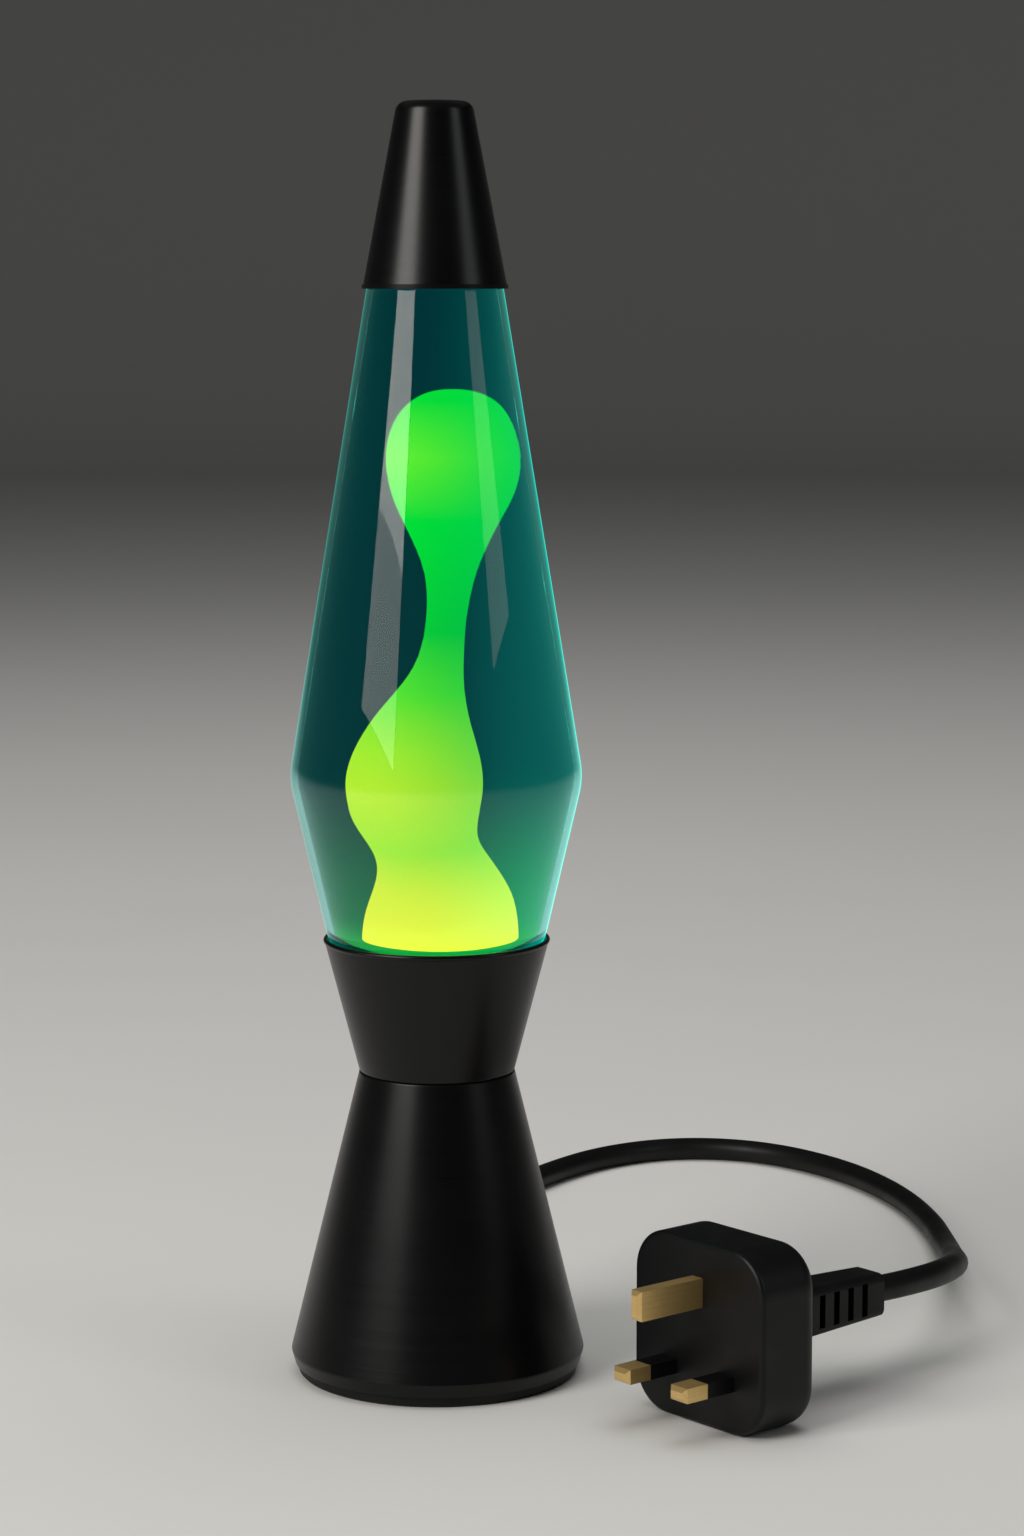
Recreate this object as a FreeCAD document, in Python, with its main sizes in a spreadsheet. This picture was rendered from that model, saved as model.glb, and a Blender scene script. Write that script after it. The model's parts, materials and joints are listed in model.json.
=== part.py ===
import FreeCAD, Part
import math
import os
import Sketcher

# A lava lamp in the rocket style: two spun cones form the base, a reflector
# bulb stands between them, a sealed bottle of liquid and wax sits in the upper
# cone, and a spun cap covers the bottle's crown.  A cord with a three-pin plug
# lies on the surface behind and beside it.
# Millimetres, +Z up, origin at the centre of the foot ring's underside.

doc = FreeCAD.newDocument("lava_lamp")
Vector = FreeCAD.Vector

# ---------------------------------------------------------------- dimensions

DRIVING = {
    # the spun shells
    "spun_wall": 1.1,            # aluminium sheet of both base cones
    "cone_bottom": 3.0,          # underside of the lower cone's inward flange
    "rim_height": 6.4,           # height of the lower cone's widest ring
    "rim_radius": 40.9,
    "rim_under": 39.9,           # radius where the rim turns under
    "flange_bore": 31.0,
    "waist_height": 85.3,        # where the two cones meet
    "waist_radius": 21.5,
    "waist_bore": 14.8,
    "mouth_height": 122.0,       # top of the upper cone
    "mouth_radius": 31.1,
    "lip_bead": 0.75,
    # foot and bottom plate
    "foot_outer": 38.8,
    "foot_inner": 35.7,
    "plate_radius": 35.4,
    "plate_thick": 1.1,
    "plate_screw_ring": 33.2,
    # bracket, holder and bulb
    "strap_thick": 1.5,
    "strap_width": 14.0,
    "strap_half": 19.4,          # half the bracket's span, outside
    "strap_bottom": 32.0,
    "rivet_offset": 16.35,
    "holder_bottom": 36.5,
    "holder_top": 66.5,
    "holder_radius": 13.2,
    "socket_bore": 8.5,
    "nipple_radius": 4.95,
    "nut_flats": 14.0,
    "bulb_tip": 45.0,
    "bulb_cap_top": 69.0,
    "bulb_face": 111.5,
    "bulb_radius": 19.5,
    "thread_crest": 6.95,
    "thread_root": 6.35,
    # bottle
    "bottle_bottom": 117.05,
    "bottle_heel": 28.79,        # radius where the lower wall would reach the bottom
    "belly_height": 166.85,
    "belly_radius": 40.35,
    "shoulder_height": 303.0,
    "shoulder_radius": 18.06,
    "glass_wall": 1.83,
    "glass_floor": 3.0,
    "neck_radius": 12.8,
    "neck_bore": 9.5,
    "bottle_top": 311.0,
    "liquid_gap": 0.05,
    "liquid_level": 302.6,
    "wax_radius": 21.2,
    "wax_top": 272.9,
    "coil_ring": 14.5,
    "coil_wire": 1.4,
    "crown_radius": 16.0,
    "crown_top": 312.4,
    # top cap
    "cap_bottom": 300.0,
    "cap_top": 350.0,
    "cap_mouth": 19.65,
    "cap_crown": 10.15,
    "cap_wall": 0.8,
    # cord
    "cord_diameter": 7.4,
    "cord_exit_height": 12.5,
    "grommet_end": 64.0,
    "core_diameter": 2.2,
    "jacket_end": 10.0,
    # plug, a three-pin type with rectangular pins
    "plug_x": 70.0,
    "plug_y": -53.0,
    "plug_yaw": 50.0,
    "plug_side": 50.0,
    "plug_depth": 21.0,
    "plug_skin": 3.2,
    "plug_corner": 12.0,
    "relief_end": 66.0,
    "earth_height": 36.3,
    "live_height": 14.1,
    "live_offset": 11.11,
    "earth_length": 22.73,
    "live_length": 17.7,
    "pin_root": 6.0,
    "fuse_length": 25.4,
    "fuse_diameter": 6.3,
}

sheet = doc.addObject("Spreadsheet::Sheet", "dims")
for row, (alias, number) in enumerate(DRIVING.items(), start=1):
    sheet.set(f"A{row}", alias)
    sheet.set(f"B{row}", str(number))
    sheet.setAlias(f"B{row}", alias)
doc.recompute()


class Size:
    """A length: its number for placing geometry, and the sheet expression that drives it."""

    def __init__(self, number, text=None):
        self.number = float(number)
        self.text = text or repr(float(number))

    def combine(self, sign, other, number, turned_round=False):
        other_text = other.text if isinstance(other, Size) else repr(float(other))
        pair = (other_text, self.text) if turned_round else (self.text, other_text)
        return Size(number, f"({pair[0]} {sign} {pair[1]})")

    def __float__(self):
        return self.number

    def __add__(self, other):
        return self.combine("+", other, self.number + float(other))

    def __radd__(self, other):
        return self + other

    def __sub__(self, other):
        return self.combine("-", other, self.number - float(other))

    def __rsub__(self, other):
        return self.combine("-", other, float(other) - self.number, turned_round=True)

    def __mul__(self, other):
        return self.combine("*", other, self.number * float(other))

    def __rmul__(self, other):
        return self * other

    def __truediv__(self, other):
        return self.combine("/", other, self.number / float(other))

    def __neg__(self):
        return 0 - self


class Dimensions:
    """Reads a driving dimension from the sheet as a Size."""

    def __getattr__(self, alias):
        return Size(getattr(sheet, alias), f"dims.{alias}")


dim = Dimensions()


def bind(thing, name, size):
    """Sets a property to a size and keeps it tied to the sheet."""
    if isinstance(size, Size):
        thing.setExpression(name, size.text)
    else:
        setattr(thing, name, size)


def along(low, high, height):
    """The radius at a height on the straight line between two (radius, height) ends."""
    share = (height - low[1]) / (high[1] - low[1])
    return low[0] + (high[0] - low[0]) * share


# -------------------------------------------------------------- body helpers

nodes = []


def new_body(label):
    body = doc.addObject("PartDesign::Body", label)
    body.Label = label
    nodes.append(body)
    return body


def new_sketch(body, name, plane="XZ_Plane", offset=None):
    """A sketch on one of the body's own planes; an offset moves it along the plane's normal."""
    sketch = body.newObject("Sketcher::SketchObject", f"{body.Name}_{name}")
    support = next(f for f in body.Origin.OriginFeatures if f.Role == plane)
    sketch.AttachmentSupport = [(support, "")]
    sketch.MapMode = "FlatFace"
    if offset is not None:
        sketch.AttachmentOffset = FreeCAD.Placement(Vector(0, 0, float(offset)), FreeCAD.Rotation())
        if isinstance(offset, Size):
            bind(sketch, "AttachmentOffset.Base.z", offset)
    return sketch


def hold(sketch, geometry, point, axis, size):
    """Ties one coordinate of a point to a size measured from the sketch's origin."""
    number = float(size)
    if abs(number) < 1e-9:
        sketch.addConstraint(Sketcher.Constraint("PointOnObject", geometry, point, -2 if axis == "X" else -1))
        return
    ends = (-1, 1, geometry, point) if number > 0 else (geometry, point, -1, 1)
    index = sketch.addConstraint(Sketcher.Constraint("Distance" + axis, *ends, abs(number)))
    if isinstance(size, Size):
        sketch.setExpression(f"Constraints[{index}]", (size if number > 0 else -size).text)


def outline(sketch, points):
    """Closes straight lines through points whose coordinates are sizes."""
    places = [Vector(float(x), float(y), 0) for x, y in points]
    count = len(places)
    first = sketch.GeometryCount
    for i in range(count):
        sketch.addGeometry(Part.LineSegment(places[i], places[(i + 1) % count]))
    for i in range(count):
        sketch.addConstraint(Sketcher.Constraint("Coincident", first + i, 2, first + (i + 1) % count, 1))
    for i, (x, y) in enumerate(points):
        hold(sketch, first + i, 1, "X", x)
        hold(sketch, first + i, 1, "Y", y)


def rectangle(sketch, low, high):
    outline(sketch, [low, (high[0], low[1]), high, (low[0], high[1])])


def ring(sketch, centre, radius):
    """A circle held at its centre and radius."""
    place = Vector(float(centre[0]), float(centre[1]), 0)
    index = sketch.addGeometry(Part.Circle(place, Vector(0, 0, 1), float(radius)))
    hold(sketch, index, 3, "X", centre[0])
    hold(sketch, index, 3, "Y", centre[1])
    limit = sketch.addConstraint(Sketcher.Constraint("Radius", index, float(radius)))
    if isinstance(radius, Size):
        sketch.setExpression(f"Constraints[{limit}]", radius.text)


def spin(body, sketch, name, kind="Revolution"):
    """Turns a sketch a full circle about its own upright axis."""
    feature = body.newObject(f"PartDesign::{kind}", f"{body.Name}_{name}")
    feature.Profile = sketch
    feature.ReferenceAxis = (sketch, ["V_Axis"])
    feature.Angle = 360.0
    doc.recompute()
    return feature


def pad(body, sketch, length, both_ways=False, backwards=False):
    feature = body.newObject("PartDesign::Pad", f"{sketch.Name}_pad")
    feature.Profile = sketch
    bind(feature, "Length", length)
    if both_ways:
        feature.SideType = "Symmetric"
    feature.Reversed = backwards
    doc.recompute()
    return feature


def pocket(body, sketch, length=None, both_ways=False, backwards=False):
    """Cuts a sketch out of the body, through everything if no length is given, and checks that it cut."""
    before = body.Shape.Volume
    feature = body.newObject("PartDesign::Pocket", f"{sketch.Name}_cut")
    feature.Profile = sketch
    if length is None:
        feature.Type = "ThroughAll"
    else:
        bind(feature, "Length", length)
    if both_ways:
        feature.SideType = "Symmetric"
    feature.Reversed = backwards
    doc.recompute()
    if body.Shape.Volume > before - 1e-3:
        raise RuntimeError(f"{feature.Name} cut nothing")
    return feature


def around(body, feature, count, name="around"):
    """Repeats a feature about the body's own Z axis."""
    pattern = body.newObject("PartDesign::PolarPattern", f"{body.Name}_{name}")
    pattern.Originals = [feature]
    axis = next(f for f in body.Origin.OriginFeatures if f.Role == "Z_Axis")
    pattern.Axis = (axis, [""])
    pattern.Angle = 360.0
    pattern.Occurrences = count
    body.Tip = pattern
    doc.recompute()
    return pattern


def circles_at(shape, spots):
    """The names of the circular edges about Z at the (radius, height) spots."""
    names = []
    for radius, height in spots:
        for number, edge in enumerate(shape.Edges, start=1):
            curve = edge.Curve
            if isinstance(curve, Part.Circle) and abs(curve.Radius - float(radius)) < 0.02:
                if abs(curve.Center.z - float(height)) < 0.02:
                    names.append(f"Edge{number}")
    return names


def rounded(body, feature, radius, spots):
    """Rounds a turned body's corners, each given by its radius and height."""
    edges = circles_at(feature.Shape, spots)
    if len(edges) < len(spots):
        raise RuntimeError(f"{body.Name}: found {len(edges)} of {len(spots)} corners")
    fillet = body.newObject("PartDesign::Fillet", f"{feature.Name}_round")
    fillet.Base = (feature, edges)
    fillet.Radius = radius
    doc.recompute()
    return fillet


def turned(label, points, rounds=()):
    """A body turned about Z from an outline of (radius, height) points, with some corners rounded."""
    body = new_body(label)
    sketch = new_sketch(body, "outline")
    outline(sketch, points)
    feature = spin(body, sketch, "turned")
    for radius, spots in rounds:
        feature = rounded(body, feature, radius, spots)
    return body


def place_on_plug(thing):
    """Stands a piece made in the plug's own frame, with its face towards -Y, where the plug lies."""
    turn = FreeCAD.Rotation(Vector(0, 0, 1), -float(dim.plug_yaw))
    thing.Placement = FreeCAD.Placement(Vector(float(dim.plug_x), float(dim.plug_y), 0), turn)
    bind(thing, "Placement.Base.x", dim.plug_x)
    bind(thing, "Placement.Base.y", dim.plug_y)


def tube(label, route, diameter):
    """A plain round tube along straight runs joined by arcs, each as large as its two runs allow."""
    points = [Vector(*p) for p in route]
    edges = []
    start = points[0]
    radii = []
    for before, corner, after in zip(points, points[1:], points[2:]):
        come = corner - before
        go = after - corner
        half_turn = come.getAngle(go) / 2
        reach = 0.45 * min(come.Length, go.Length)
        radii.append(reach / math.tan(half_turn))
        into = corner - come.normalize() * reach
        out = corner + go.normalize() * reach
        inward = (into + out) * 0.5 - corner
        middle_distance = radii[-1] / math.cos(half_turn) - radii[-1]
        middle = corner + inward.normalize() * middle_distance
        edges.append(Part.LineSegment(start, into).toShape())
        edges.append(Part.Arc(into, middle, out).toShape())
        start = out
    edges.append(Part.LineSegment(start, points[-1]).toShape())
    path = Part.Wire(edges)
    end = Part.Circle(points[0], points[1] - points[0], float(diameter) / 2).toShape()
    solid = path.makePipeShell([Part.Wire([end])], True, False)
    section = math.pi * float(diameter) ** 2 / 4
    print(f"{label}: length {path.Length:.1f} mm, least arc radius {min(radii):.1f} mm,"
          f" volume over section times length {solid.Volume / (section * path.Length):.4f}")
    thing = doc.addObject("Part::Feature", label)
    thing.Label = label
    thing.Shape = solid
    nodes.append(thing)
    return thing


# -------------------------------------------------------------- spun shells

wall = dim.spun_wall
rim = (dim.rim_radius, dim.rim_height)
cone_top = (dim.waist_radius, dim.waist_height)
mouth = (dim.mouth_radius, dim.mouth_height)


def base_cone():
    """The lower cone: a flange at the waist, a rolled rim, and a flange under the bottom."""
    floor_top = dim.cone_bottom + wall
    under_waist = dim.waist_height - wall
    body = turned("base_cone", [
        (dim.rim_under, dim.cone_bottom),
        rim,
        cone_top,
        (dim.waist_bore, dim.waist_height),
        (dim.waist_bore, under_waist),
        (along(rim, cone_top, under_waist) - wall, under_waist),
        (along(rim, cone_top, floor_top) - wall * 1.6, floor_top),
        (dim.flange_bore, floor_top),
        (dim.flange_bore, dim.cone_bottom),
    ], rounds=[(1.4, [rim]), (0.7, [cone_top])])
    cord_hole = new_sketch(body, "cord_hole")
    ring(cord_hole, (0, dim.cord_exit_height), 6.4)
    pocket(body, cord_hole, length=60)
    rivet_holes(body)
    screw_hole = new_sketch(body, "screw_hole", "XY_Plane")
    ring(screw_hole, (0, -dim.plate_screw_ring), 1.45)
    hole = pocket(body, screw_hole, length=floor_top + 1, backwards=True)
    around(body, hole, 3)


def rivet_holes(body):
    """Two holes through the waist flange for the tubular rivets."""
    sketch = new_sketch(body, "rivets", "XY_Plane", offset=dim.waist_height)
    for side in (-1, 1):
        ring(sketch, (side * dim.rivet_offset, 0), 1.05)
    pocket(body, sketch, length=8, both_ways=True)


def collar_cup():
    """The upper cone, mouth up, with a rolled lip."""
    floor_top = dim.waist_height + wall
    body = turned("collar_cup", [
        (dim.waist_bore, dim.waist_height),
        cone_top,
        mouth,
        (dim.mouth_radius - wall, dim.mouth_height),
        (along(cone_top, mouth, floor_top) - wall, floor_top),
        (dim.waist_bore, floor_top),
    ], rounds=[(0.7, [cone_top])])
    bead = new_sketch(body, "lip")
    ring(bead, (dim.mouth_radius - 0.55, dim.mouth_height - 0.25), dim.lip_bead)
    spin(body, bead, "lip_bead")
    rivet_holes(body)


def waist_rivets():
    """Two tubular rivets clamping cup, cone and bracket."""
    body = new_body("waist_rivets")
    top = dim.waist_height + wall
    bottom = dim.waist_height - wall - dim.strap_thick
    for index, side in enumerate((-1, 1)):
        for name, low, height, radius in (
            ("tail", bottom - 0.7, 0.7, 1.4),
            ("shank", bottom, top - bottom, 1.0),
            ("head", top, 0.8, 1.8),
        ):
            sketch = new_sketch(body, f"{name}{index}", "XY_Plane", offset=low)
            ring(sketch, (side * dim.rivet_offset, 0), radius)
            pad(body, sketch, height)


def lampholder_bracket():
    """A bent steel strap hanging from the waist, its tabs turned in under the flange."""
    body = new_body("lampholder_bracket")
    half = dim.strap_half
    thick = dim.strap_thick
    top = dim.waist_height - wall
    tab = 15.2
    sketch = new_sketch(body, "strap")
    outline(sketch, [
        (-half, top), (-half, dim.strap_bottom), (half, dim.strap_bottom), (half, top),
        (tab, top), (tab, top - thick), (half - thick, top - thick),
        (half - thick, dim.strap_bottom + thick), (thick - half, dim.strap_bottom + thick),
        (thick - half, top - thick), (-tab, top - thick), (-tab, top),
    ])
    pad(body, sketch, dim.strap_width, both_ways=True)
    holes = new_sketch(body, "holes", "XY_Plane", offset=dim.strap_bottom)
    ring(holes, (0, 0), dim.nipple_radius + 0.1)
    ring(holes, (-14.5, 0), 1.55)
    pocket(body, holes, length=8, both_ways=True)
    rivet_holes(body)


def bottle_seat():
    """A rubber ring in the cup that cradles the bottle's rounded bottom."""
    low = 113.5
    inside_low = along(cone_top, mouth, low) - wall * 1.1
    inside_high = along(cone_top, mouth, dim.bottle_bottom + 2.4) - wall * 1.1
    turned("bottle_seat", [
        (20.3, low),
        (inside_low - 0.15, low),
        (inside_high - 0.15, dim.bottle_bottom + 2.4),
        (26.5, dim.bottle_bottom + 0.85),
        (24.5, dim.bottle_bottom + 0.25),
        (23.0, dim.bottle_bottom - 0.03),
        (21.4, dim.bottle_bottom - 0.05),
        (20.3, dim.bottle_bottom - 0.05),
    ])


def bottom_pieces():
    """The vented bottom plate, its three screws and the rubber foot ring."""
    plate_low = dim.cone_bottom - dim.plate_thick
    plate = turned("base_plate", [
        (0, plate_low), (dim.plate_radius, plate_low),
        (dim.plate_radius, dim.cone_bottom), (0, dim.cone_bottom),
    ])
    slot = new_sketch(plate, "slot", "XY_Plane", offset=dim.cone_bottom)
    rectangle(slot, (-1.5, -27.0), (1.5, -15.0))
    cut = pocket(plate, slot, length=dim.plate_thick + 1)
    around(plate, cut, 12, "vents")
    screw_hole = new_sketch(plate, "screw_hole", "XY_Plane", offset=dim.cone_bottom)
    ring(screw_hole, (0, -dim.plate_screw_ring), 1.45)
    hole = pocket(plate, screw_hole, length=dim.plate_thick + 1)
    around(plate, hole, 3, "screw_holes")

    turned("foot_ring", [
        (dim.foot_inner, 0), (dim.foot_outer - 0.6, 0), (dim.foot_outer, 0.6),
        (dim.foot_outer, dim.cone_bottom), (dim.foot_inner, dim.cone_bottom),
    ])

    screws = new_body("plate_screws")
    head = new_sketch(screws, "heads", "XY_Plane", offset=plate_low - 1.2)
    shank = new_sketch(screws, "shanks", "XY_Plane", offset=plate_low)
    for step in range(3):
        angle = math.radians(-90 + 120 * step)
        centre = (math.cos(angle) * dim.plate_screw_ring, math.sin(angle) * dim.plate_screw_ring)
        ring(head, centre, 2.15)
        ring(shank, centre, 1.35)
    pad(screws, head, 1.2)
    pad(screws, shank, 7.5)


# ------------------------------------------------------- holder and its parts


def zigzag(crest, root, low, pitch, count):
    """Points up a rounded lamp thread, drawn as rings because the thread only turns in place."""
    points = []
    for turn in range(count):
        points.append((crest, low + turn * pitch))
        points.append((root, low + (turn + 0.5) * pitch))
    return points


# the lowest crest of the bulb's thread, and the rise from one crest to the next
thread_start = 51.0
thread_pitch = 2.82


def lampholder():
    """A small screw-base lampholder on a threaded tube with two nuts."""
    body = turned("lampholder_body", [
        (0, dim.holder_bottom), (dim.holder_radius - 1.2, dim.holder_bottom),
        (dim.holder_radius, dim.holder_bottom + 1.2),
        (dim.holder_radius, dim.holder_top), (dim.socket_bore, dim.holder_top),
        (dim.socket_bore, 44.0), (7.0, 44.0), (7.0, 42.0), (0, 42.0),
    ])
    entries = new_sketch(body, "entries", "XY_Plane", offset=dim.holder_bottom)
    for side in (-1, 1):
        ring(entries, (side * 5.2, 9.0), 1.2)
    pocket(body, entries, length=4.2, backwards=True)
    bore = new_sketch(body, "nipple_bore", "XY_Plane", offset=dim.holder_bottom)
    ring(bore, (0, 0), dim.nipple_radius + 0.02)
    pocket(body, bore, length=3.6, backwards=True)
    screw_holes = new_sketch(body, "screw_holes", offset=-9.0)
    for side in (-1, 1):
        ring(screw_holes, (side * 5.2, 39.5), 1.05)
    pocket(body, screw_holes, length=5)

    screws = new_body("terminal_screws")
    tail = new_sketch(screws, "tails", offset=-10.2)
    head = new_sketch(screws, "heads", offset=-12.9)
    for side in (-1, 1):
        ring(tail, (side * 5.2, 39.5), 1.0)
        ring(head, (side * 5.2, 39.5), 1.9)
    pad(screws, tail, 2.7, backwards=True)
    pad(screws, head, 1.2, backwards=True)

    shell_low = 48.0
    crest = dim.thread_crest + 0.25
    root = dim.thread_root + 0.25
    thread = zigzag(crest, root, thread_start - thread_pitch, thread_pitch, 6)
    turned("lampholder_shell", [(7.6, shell_low)] + [
        (dim.socket_bore - 0.05, shell_low), (dim.socket_bore - 0.05, 66.2), (7.6, 66.2),
    ] + thread[::-1])

    contact = new_body("centre_contact")
    strip = new_sketch(contact, "strip")
    outline(strip, [
        (-6.2, 42.0), (-4.6, 42.0), (-1.5, 44.3), (1.5, 44.3),
        (1.5, 44.9), (-1.8, 44.9), (-4.9, 42.6), (-6.2, 42.6),
    ])
    pad(contact, strip, 3.6, both_ways=True)

    turned("holder_nipple", [
        (3.2, 29.0), (dim.nipple_radius, 29.0), (dim.nipple_radius, 40.0), (3.2, 40.0),
    ])
    nuts = new_body("nipple_nuts")
    corner = dim.nut_flats / math.sqrt(3)
    bar_top = dim.strap_bottom + dim.strap_thick
    for name, low, height in (
        ("lower", dim.strap_bottom - 2.4, 2.4),
        ("upper", bar_top, dim.holder_bottom - bar_top),
    ):
        sketch = new_sketch(nuts, name, "XY_Plane", offset=low)
        outline(sketch, [
            (corner * math.cos(math.radians(a)), corner * math.sin(math.radians(a)))
            for a in range(15, 375, 60)
        ])
        ring(sketch, (0, 0), dim.nipple_radius + 0.02)
        pad(nuts, sketch, height)


def bulb():
    """A reflector bulb: glass envelope, screw cap, insulator, tip contact, mount and filament."""
    neck = dim.bulb_cap_top
    face = dim.bulb_face
    widest = dim.bulb_radius
    skin = 0.7
    turned("bulb_glass", [
        (0, face), (widest - 3.6, face - 1.2), (widest, face - 4.6), (widest, face - 9.0),
        (13.3, face - 24.0), (7.6, face - 36.5), (6.6, neck),
        (6.6 - skin, neck), (7.6 - skin, face - 36.3), (13.3 - skin, face - 23.8),
        (widest - skin, face - 8.9), (widest - skin, face - 4.9),
        (widest - 3.8, face - 1.2 - skin), (0, face - skin),
    ], rounds=[(2.0, [(widest - 3.6, face - 1.2), (widest, face - 4.6)])])
    thread = zigzag(dim.thread_crest, dim.thread_root, thread_start, thread_pitch, 6)
    turned("bulb_cap", [(4.9, 50.0), (6.3, 50.0)] + thread + [
        (6.6, neck - 1.4), (7.0, neck), (5.4, neck), (5.4, 50.8), (4.9, 50.8),
    ])
    turned("bulb_insulator", [(0, 46.8), (3.0, 46.8), (5.6, 50.0), (4.85, 50.0), (4.85, 50.8), (0, 50.8)])
    turned("bulb_contact", [(0, dim.bulb_tip), (2.0, dim.bulb_tip), (2.9, 46.8), (0, 46.8)])
    turned("filament_mount", [(0, neck), (3.4, neck), (2.0, 78.0), (1.6, 86.0), (2.2, 87.5), (0, 87.5)])
    tube("filament", [
        (-1.2, 0, 87.55), (-1.2, 0, 88.7), (-3.4, 0, 91.2), (-6.0, 1.0, 94.0), (-3.0, 4.4, 96.2),
        (3.0, 4.4, 96.2), (6.0, 1.0, 94.0), (3.4, 0, 91.2), (1.2, 0, 88.7), (1.2, 0, 87.55),
    ], 0.7)


# -------------------------------------------------------------------- bottle

heel = (dim.bottle_heel, dim.bottle_bottom)
belly = (dim.belly_radius, dim.belly_height)
shoulder = (dim.shoulder_radius, dim.shoulder_height)
belly_round = 22.0
heel_round = 9.0


def inner_bottle(gap):
    """Corners of the bottle's inside, moved in by a gap: floor edge, belly and shoulder."""
    thick = dim.glass_wall + gap
    floor = dim.bottle_bottom + dim.glass_floor + gap
    roof = dim.shoulder_height - 1.1 - gap
    return (
        (along(heel, belly, floor) - thick, floor),
        (dim.belly_radius - thick, dim.belly_height),
        (along(belly, shoulder, roof) - thick, roof),
    )


def glass_bottle():
    """The bottle, its wall a little under 2 mm, with a crown finish at the neck."""
    low, middle, high = inner_bottle(0)
    neck_low = dim.shoulder_height + 1.6
    finish_low = dim.bottle_top - 4.0
    turned("glass_bottle", [
        (0, dim.bottle_bottom), heel, belly, shoulder,
        (dim.neck_radius, neck_low), (dim.neck_radius, finish_low),
        (dim.neck_radius + 0.5, finish_low), (dim.neck_radius + 0.5, dim.bottle_top),
        (dim.neck_bore, dim.bottle_top), (dim.neck_bore, neck_low - 0.8),
        high, middle, low, (0, low[1]),
    ], rounds=[
        (heel_round, [heel]), (belly_round, [belly]), (2.0, [shoulder]),
        (belly_round - 1.8, [middle]), (heel_round - 1.8, [low]),
    ])


# (height, sideways offset, share of the widest wax radius) up the wax column
WAX_RINGS = [
    (120.35, 0.8, 0.94),
    (128.0, 1.0, 1.0),
    (137.5, 0.6, 0.86),
    (144.5, -1.6, 0.755),
    (151.0, -4.9, 0.76),
    (162.5, -6.4, 0.89),
    (174.0, -5.6, 0.80),
    (187.0, -2.7, 0.53),
    (202.0, 1.6, 0.285),
    (219.0, 3.5, 0.29),
    (232.5, 4.2, 0.52),
    (243.5, 4.6, 0.77),
    (254.5, 4.8, 0.89),
    (264.5, 4.8, 0.76),
    (270.4, 4.8, 0.46),
]


def bottle_filling():
    """The heated wax in one rising column, the metal coil it rests on, and the liquid around both."""
    coil = doc.addObject("Part::Torus", "heat_coil")
    coil.Label = "heat_coil"
    bind(coil, "Radius1", dim.coil_ring)
    bind(coil, "Radius2", dim.coil_wire)
    coil_height = dim.bottle_bottom + dim.glass_floor + dim.coil_wire + 0.45
    coil.Placement.Base = Vector(0.8, 0, float(coil_height))
    bind(coil, "Placement.Base.z", coil_height)
    nodes.append(coil)

    rings = []
    for number, (height, offset, share) in enumerate(WAX_RINGS + [(float(dim.wax_top), 4.8, 0.12)]):
        circle = doc.addObject("Part::Circle", f"wax_ring_{number}")
        circle.Placement.Base = Vector(offset, 0, height)
        bind(circle, "Radius", dim.wax_radius * share)
        rings.append(circle)
    blank = doc.addObject("Part::Loft", "wax_blank")
    blank.Sections = rings
    blank.Solid = True
    doc.recompute()

    wax = doc.addObject("Part::Cut", "wax_column")
    wax.Label = "wax_column"
    wax.Base = blank
    wax.Tool = coil
    nodes.append(wax)

    low, middle, high = inner_bottle(dim.liquid_gap)
    inside = doc.addObject("PartDesign::Body", "liquid_blank")
    sketch = new_sketch(inside, "outline")
    outline(sketch, [(0, low[1]), low, middle, high, (0, high[1])])
    feature = spin(inside, sketch, "turned")
    feature = rounded(inside, feature, belly_round - 1.85, [middle])
    rounded(inside, feature, heel_round - 1.85, [low])
    liquid = doc.addObject("Part::Cut", "coloured_liquid")
    liquid.Label = "coloured_liquid"
    liquid.Base = inside
    liquid.Tool = blank
    nodes.append(liquid)
    doc.recompute()


def bottle_closure():
    """The crown with its pinched skirt, and the liner disc under it."""
    top = dim.crown_top
    lip = dim.bottle_top
    sheet_thick = 0.5
    crown = turned("crown_cap", [
        (0, top), (dim.crown_radius - 2.4, top), (dim.crown_radius - 1.0, top - 1.2),
        (dim.crown_radius, top - 6.0), (dim.crown_radius - sheet_thick, top - 6.0),
        (dim.crown_radius - 1.7, top - 1.7), (dim.crown_radius - 2.5, top - 0.6), (0, top - 0.6),
    ])
    pinch = new_sketch(crown, "pinch", "XY_Plane", offset=top - 6.5)
    ring(pinch, (0, dim.crown_radius + 0.55), 0.85)
    cut = pocket(crown, pinch, length=3.4, backwards=True)
    around(crown, cut, 21, "pinches")
    turned("cap_liner", [(0, lip), (12.9, lip), (12.9, top - 0.6), (0, top - 0.6)])


def top_cap():
    """The spun cap, a slim hollow cone with a rounded top and a narrow hem."""
    crown = (dim.cap_crown, dim.cap_top)
    hem_top = dim.cap_bottom + 1.2
    cap_mouth = (dim.cap_mouth, dim.cap_bottom)
    skin = dim.cap_wall
    turned("top_cap", [
        (0, dim.cap_top), crown,
        (along(cap_mouth, crown, hem_top), hem_top),
        (dim.cap_mouth + 0.18, hem_top),
        (dim.cap_mouth + 0.18, dim.cap_bottom),
        (dim.cap_mouth - skin, dim.cap_bottom),
        (dim.cap_crown - skin * 0.85, dim.cap_top - skin),
        (0, dim.cap_top - skin),
    ], rounds=[(3.2, [crown]), (2.4, [(dim.cap_crown - skin * 0.85, dim.cap_top - skin)])])


# ---------------------------------------------------------------------- cord


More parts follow.
